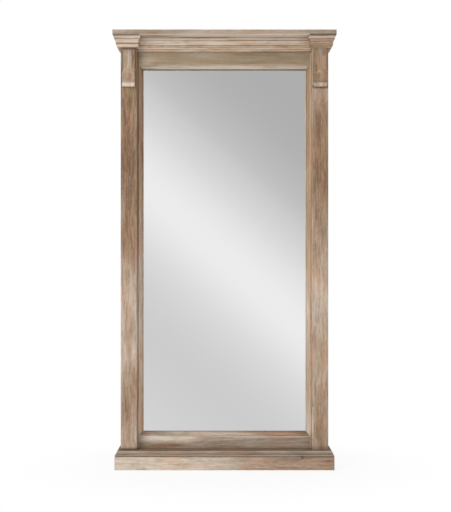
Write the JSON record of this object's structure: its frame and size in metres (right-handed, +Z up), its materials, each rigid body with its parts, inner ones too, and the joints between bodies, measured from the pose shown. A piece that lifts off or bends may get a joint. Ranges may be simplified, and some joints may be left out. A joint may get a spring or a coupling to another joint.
{
  "type": "floor mirror",
  "caption": "Tall standing floor mirror in whitewashed pine, with side columns, carved brackets, a moulded cornice, a plinth base and swinging hanger rings behind.",
  "frame": {"origin": "centre of the footprint, on the floor", "axes": "+Z up, -Y out of the mirror's face, +X to the right of someone who looks into it"},
  "size_m": [1.016, 0.14, 2],
  "materials": {
    "washed_pine": "whitewashed, worn, matt",
    "raw_pine": "raw, unfinished",
    "backing": "plain fibreboard, matt",
    "glass": "silvered, polished",
    "spacer": "matt",
    "steel": "zinc plated, satin"
  },
  "bodies": {
    "frame": {"left_stile": "washed_pine", "right_stile": "washed_pine", "top_rail": "washed_pine", "bottom_rail": "washed_pine", "sight_moulding_bottom": "washed_pine", "sight_moulding_top": "washed_pine", "sight_moulding_left": "washed_pine", "sight_moulding_right": "washed_pine", "left_pilaster": "washed_pine", "right_pilaster": "washed_pine", "left_bracket": "washed_pine", "right_bracket": "washed_pine", "cornice": "washed_pine", "left_capital_front": "washed_pine", "left_capital_outer": "washed_pine", "left_capital_inner": "washed_pine", "right_capital_front": "washed_pine", "right_capital_outer": "washed_pine", "right_capital_inner": "washed_pine", "frieze_bead": "washed_pine", "top_cap": "washed_pine", "plinth_front": "washed_pine", "plinth_left": "washed_pine", "plinth_right": "washed_pine", "base_moulding_front": "washed_pine", "base_moulding_left": "washed_pine", "base_moulding_right": "washed_pine", "base_sill": "washed_pine", "plinth_blocks": "raw_pine", "cap_dowels": "raw_pine", "bracket_dowels": "raw_pine", "backing_board": "backing", "mirror_glass": "glass", "glass_spacers": "spacer", "pilaster_screws": "steel", "backing_screws": "steel", "hanger_screws": "steel", "plinth_nails": "steel", "left_hanger_strap": "steel", "right_hanger_strap": "steel"},
    "left_ring": {"left_hanger_ring": "steel"},
    "right_ring": {"right_hanger_ring": "steel"}
  },
  "joints": [
    {"name": "left_ring_swing", "type": "hinge", "parent": "frame", "child": "left_ring", "pos_m": [-0.434, 0.0641, 1.65], "axis": [1, 0, 0], "range_deg": [0, 170]},
    {"name": "right_ring_swing", "type": "hinge", "parent": "frame", "child": "right_ring", "pos_m": [0.434, 0.0641, 1.65], "axis": [1, 0, 0], "range_deg": [0, 170]}
  ]
}
